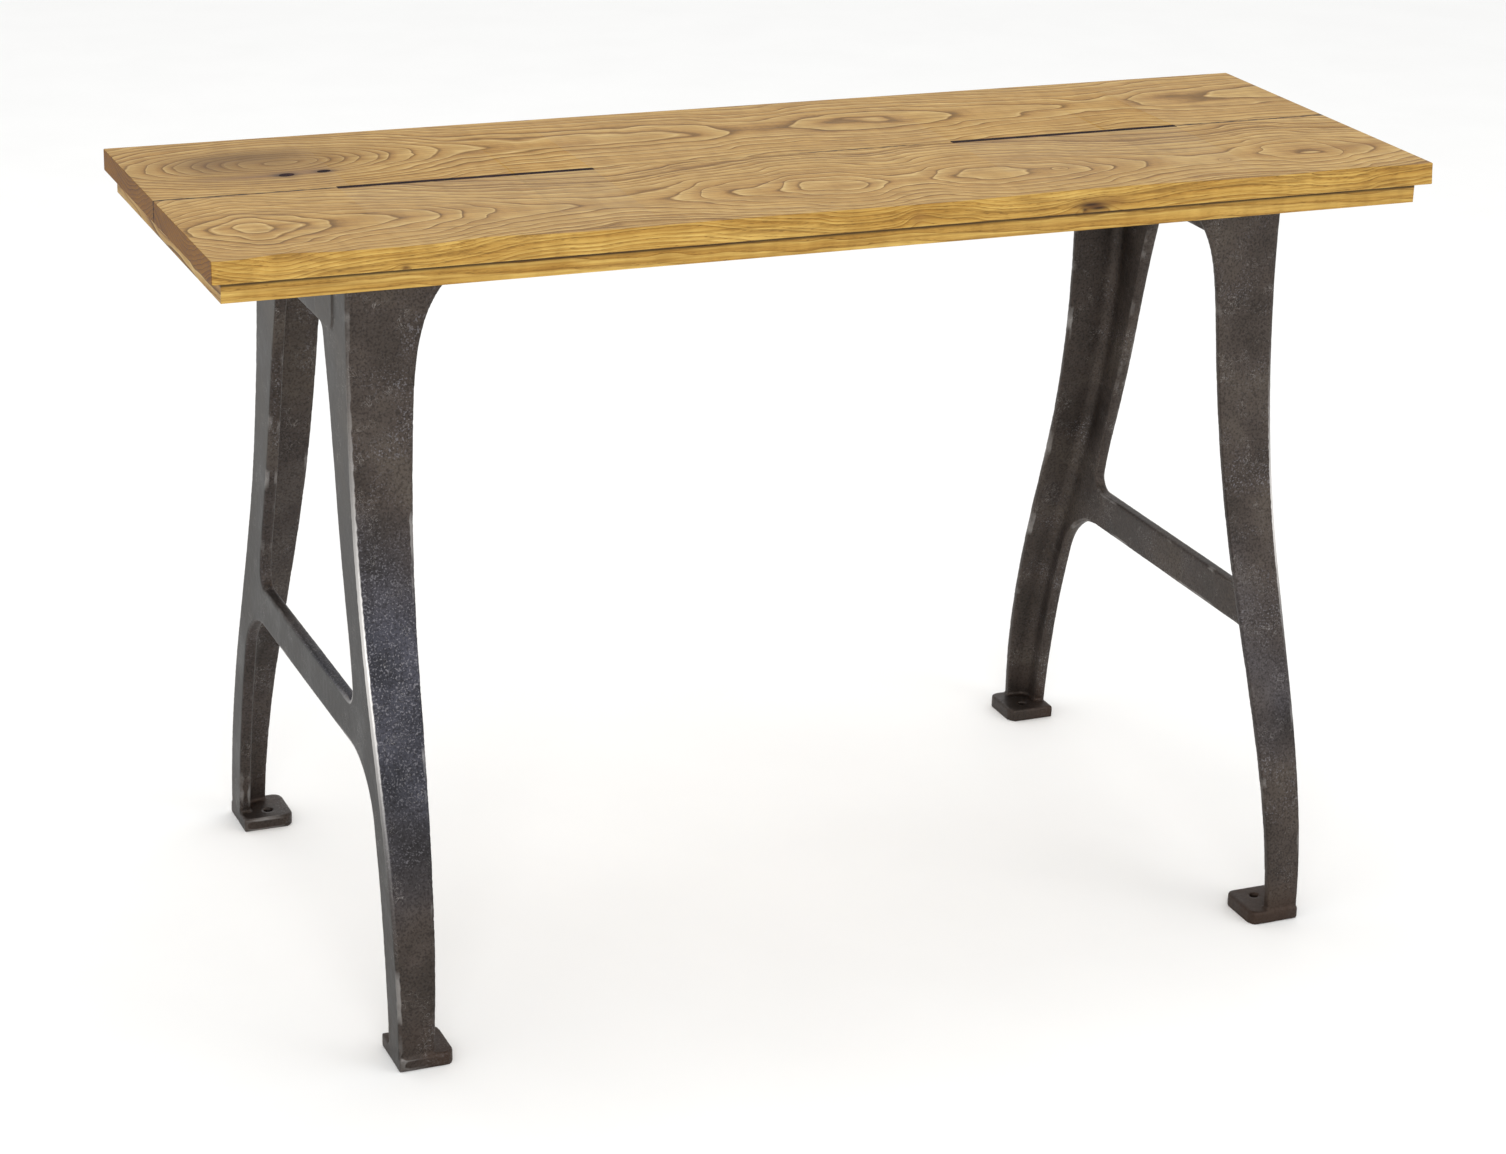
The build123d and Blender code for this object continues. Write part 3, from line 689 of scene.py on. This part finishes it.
def carve(mesh, *nodes):
    """The board's mesh with a groove or pocket for each of these resin pieces."""
    board = bpy.data.objects.new("board_blank", mesh)
    bpy.context.scene.collection.objects.link(board)
    cutters = [resin_cutter(node) for node in nodes]
    for cutter in cutters:
        add_modifier(cutter, "weld", "WELD", merge_threshold=SAME_POINT)
        add_modifier(board, cutter.name, "BOOLEAN", operation="DIFFERENCE", object=cutter, solver="EXACT")
    carved = applied(board)
    for extra in (board, *cutters):
        bpy.data.objects.remove(extra)
    print("carved for", nodes, "faces:", len(carved.polygons))
    return shade(carved)


front_mesh = carve(loft_board("front_board", "top_board_front", front_profile),
                   "seam_resin_left", "seam_resin_right")
new_piece("front_board", front_mesh, oiled_ash_front, "top_board_front")
rear_mesh = carve(loft_board("rear_board", "top_board_rear", rear_profile),
                  "seam_resin_left", "seam_resin_right", "knot_fill_large", "knot_fill_small")
new_piece("rear_board", rear_mesh, oiled_ash_rear, "top_board_rear")

# %% [markdown]
# ## Rails and cleats
# Four mitred rails and two cleats stiffen the top from below. They came from the same planer, so they keep
# their machined shape and only their arrises are eased. The drilled holes stay, with the screws in them.

# %% Ease the machined pieces
RAIL_EASE = 0.7 * MM
ARRIS_ANGLE = math.radians(40)          # an edge that turns more than this is an arris


def eased_copy(node, name):
    """A copy of a CAD node's mesh with its arrises bevelled."""
    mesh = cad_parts[node].data.copy()
    mesh.name = name
    shell = bmesh.new()
    shell.from_mesh(mesh)
    bmesh.ops.remove_doubles(shell, verts=shell.verts, dist=SAME_POINT)
    bmesh.ops.dissolve_limit(shell, angle_limit=math.radians(1), verts=shell.verts, edges=shell.edges)
    sharp = [e for e in shell.edges if len(e.link_faces) == 2 and e.calc_face_angle() > ARRIS_ANGLE]
    bmesh.ops.bevel(shell, geom=sharp, offset=RAIL_EASE, segments=2, profile=0.5, affect="EDGES",
                    clamp_overlap=True)
    bmesh.ops.triangulate(shell, faces=[f for f in shell.faces if len(f.verts) > 4])
    shell.to_mesh(mesh)
    shell.free()
    print(name, "eased:", len(mesh.polygons), "faces")
    return shade(mesh)


for side in ("front", "rear"):
    node = "rail_" + side
    new_piece(side + "_rail", eased_copy(node, side + "_rail"), oiled_ash_rail, node)
for side in ("left", "right"):
    node = "rail_" + side
    new_piece(side + "_end_rail", eased_copy(node, side + "_end_rail"), oiled_ash_end_rail,
              node)
    node = "cleat_" + side
    new_piece(side + "_cleat", eased_copy(node, side + "_cleat"), oiled_ash_cleat, node)

# %% [markdown]
# ## The castings
# Each end of the table is one iron casting. A mould has no sharp corners and its sand leaves a fine,
# uneven skin, so the CAD shape is wrapped in an even mesh, softened, and pushed in and out by fractions
# of a millimetre.

# %% Sand-cast skin
CAST_CELL = 2.1 * MM
SAND_GRAIN = 0.35 * MM        # depth of the sand's texture
CASTING_WAVE = 0.6 * MM       # slow unevenness of a hand-rammed mould
FULL_BULGE = 0.75 * MM        # standing out this far counts as an edge


def sand_texture(name, size, depth=2):
    texture = bpy.data.textures.new(name, "CLOUDS")
    texture.noise_scale = size
    texture.noise_depth = depth
    return texture


def bulge(mesh, rounds=4):
    """How far each point stands out of its neighbourhood, from -1 in a corner to 1 on an edge. A point is
    compared with where it goes when it is moved, this many rounds, to the middle of its neighbours."""
    count = len(mesh.vertices)
    here = np.zeros(count * 3)
    mesh.vertices.foreach_get("co", here)
    here = here.reshape(-1, 3)
    normals = np.zeros(count * 3)
    mesh.vertices.foreach_get("normal", normals)
    pairs = np.zeros(len(mesh.edges) * 2, dtype=np.int64)
    mesh.edges.foreach_get("vertices", pairs)
    pairs = pairs.reshape(-1, 2)
    both = np.concatenate([pairs, pairs[:, ::-1]])
    degree = np.bincount(both[:, 0], minlength=count)
    smooth = here.copy()
    for _ in range(rounds):
        axes = [np.bincount(both[:, 0], smooth[both[:, 1], axis], count) / degree for axis in range(3)]
        smooth = np.stack(axes, 1)
    out = ((here - smooth) * normals.reshape(-1, 3)).sum(1)
    for _ in range(3):
        out = 0.5 * out + 0.5 * np.bincount(both[:, 0], out[both[:, 1]], count) / degree
    return np.clip(out / FULL_BULGE, -1, 1)


def sand_cast(node, name):
    rough = bpy.data.objects.new(name + "_rough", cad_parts[node].data.copy())
    bpy.context.scene.collection.objects.link(rough)
    add_modifier(rough, "weld", "WELD", merge_threshold=SAME_POINT)
    add_modifier(rough, "wrap", "REMESH", mode="VOXEL", voxel_size=CAST_CELL)
    add_modifier(rough, "fit", "SHRINKWRAP", target=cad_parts[node], wrap_method="NEAREST_SURFACEPOINT")
    add_modifier(rough, "soften", "SMOOTH", factor=0.5, iterations=1)
    add_modifier(rough, "wave", "DISPLACE", texture=sand_texture(name + "_wave", 0.09), mid_level=0.5,
                 strength=CASTING_WAVE)
    add_modifier(rough, "sand", "DISPLACE", texture=sand_texture(name + "_sand", 0.006, 3), mid_level=0.5,
                 strength=SAND_GRAIN)
    mesh = applied(rough)
    mesh.name = name
    bpy.data.objects.remove(rough)
    mesh.polygons.foreach_set("use_smooth", [True] * len(mesh.polygons))
    layer = mesh.attributes.new("bulge", "FLOAT", "POINT")
    layer.data.foreach_set("value", bulge(mesh))
    print(name, "skin:", len(mesh.polygons), "faces")
    return mesh


for side, iron in (("left", iron_left), ("right", iron_right)):
    node = "leg_frame_" + side
    new_piece(side + "_casting", sand_cast(node, side + "_casting"), iron, node)

# %% Finish for the pieces kept as machined
KEPT = {
    "seam_resin_left": resin, "seam_resin_right": resin, "knot_fill_large": resin, "knot_fill_small": resin,
    "seam_dowels": beech, "leg_bolts_left": zinc, "leg_bolts_right": zinc, "leg_washers_left": zinc,
    "leg_washers_right": zinc, "rail_screws": screw_steel, "cleat_screws": screw_steel,
}
for node, material in KEPT.items():
    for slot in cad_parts[node].material_slots:
        slot.material = material
print("kept CAD nodes:", len(KEPT))
